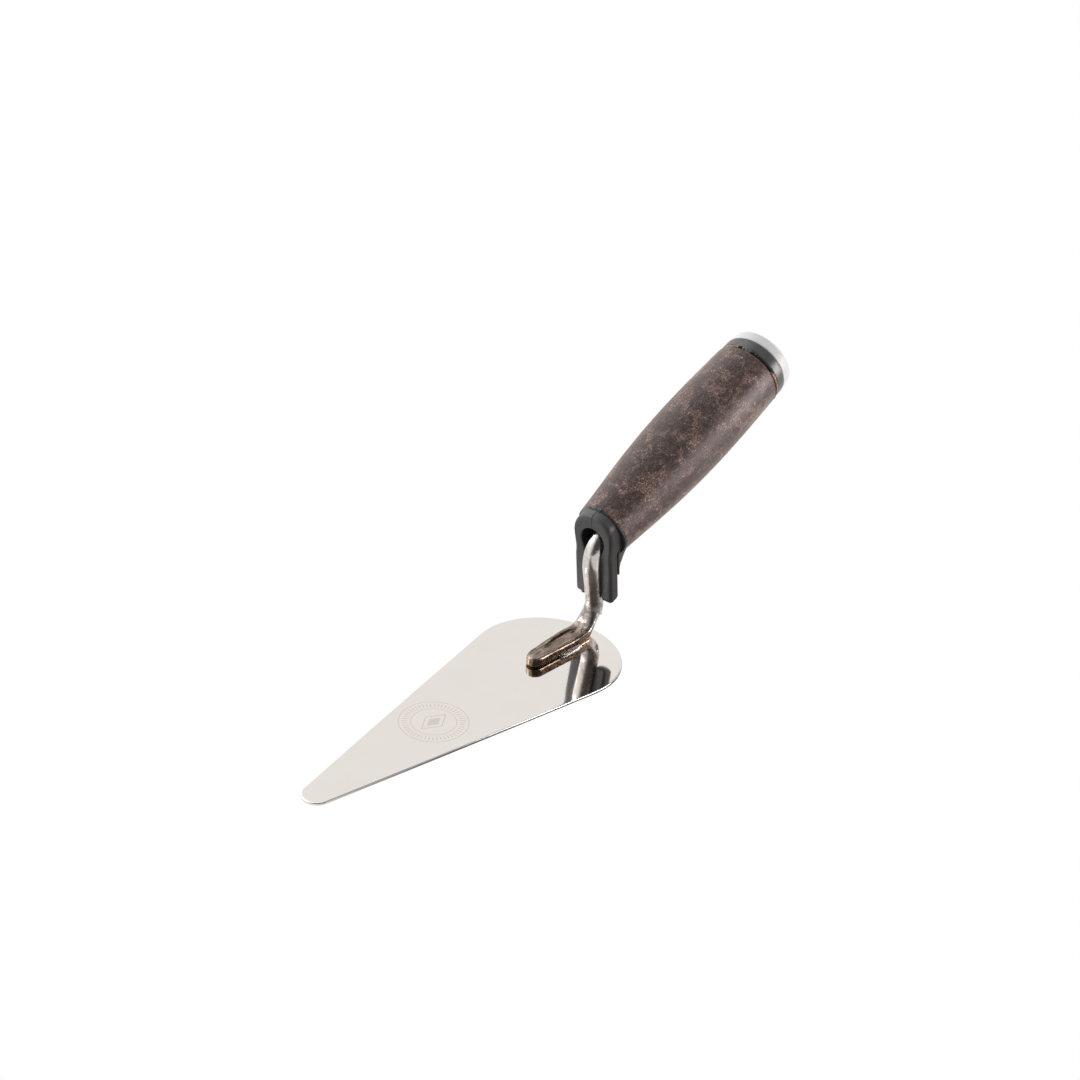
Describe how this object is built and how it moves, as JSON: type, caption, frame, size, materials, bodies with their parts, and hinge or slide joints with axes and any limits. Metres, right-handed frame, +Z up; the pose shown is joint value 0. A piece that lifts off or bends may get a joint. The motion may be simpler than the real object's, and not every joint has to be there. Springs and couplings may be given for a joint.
{
  "type": "brick trowel",
  "caption": "Small pointed brick trowel with a flat steel blade, a gooseneck shank welded on top and a straight round handle with a finger guard and end cap.",
  "frame": {"origin": "under the middle of the tool's bounding box, on the plane that the blade's flat underside lies on", "axes": "+X along the blade from the pointed tip to the handle's butt, +Z up from the blade's working face, +Y to the right of a user who looks from the handle to the tip; Y = 0 is the plane of symmetry"},
  "size_m": [0.3024, 0.0676, 0.1142],
  "materials": {
    "blade_steel": "mirror-polished steel with faint grinding lines and a shallow etched ring mark",
    "forged_steel": "polished forging, straw and brown heat tint at the foot",
    "weld_metal": "rippled fillet weld with gold and blue heat tint",
    "guard_black": "satin moulded black polymer",
    "collar_black": "satin moulded black polymer",
    "grip_brown": "satin pressed wood-fibre composite, dark brown with tan and ochre flecks",
    "core_black": "moulded black polymer, hidden",
    "ring_black": "satin moulded black polymer",
    "cap_white": "satin off-white nylon"
  },
  "bodies": {
    "root": {"blade": "blade_steel", "shank": "forged_steel", "weld_bead_left": "weld_metal", "weld_bead_right": "weld_metal", "heel_weld": "weld_metal", "finger_guard": "guard_black", "ferrule_collar": "collar_black", "grip": "grip_brown", "handle_core": "core_black", "end_ring": "ring_black", "end_cap": "cap_white"}
  },
  "joints": []
}
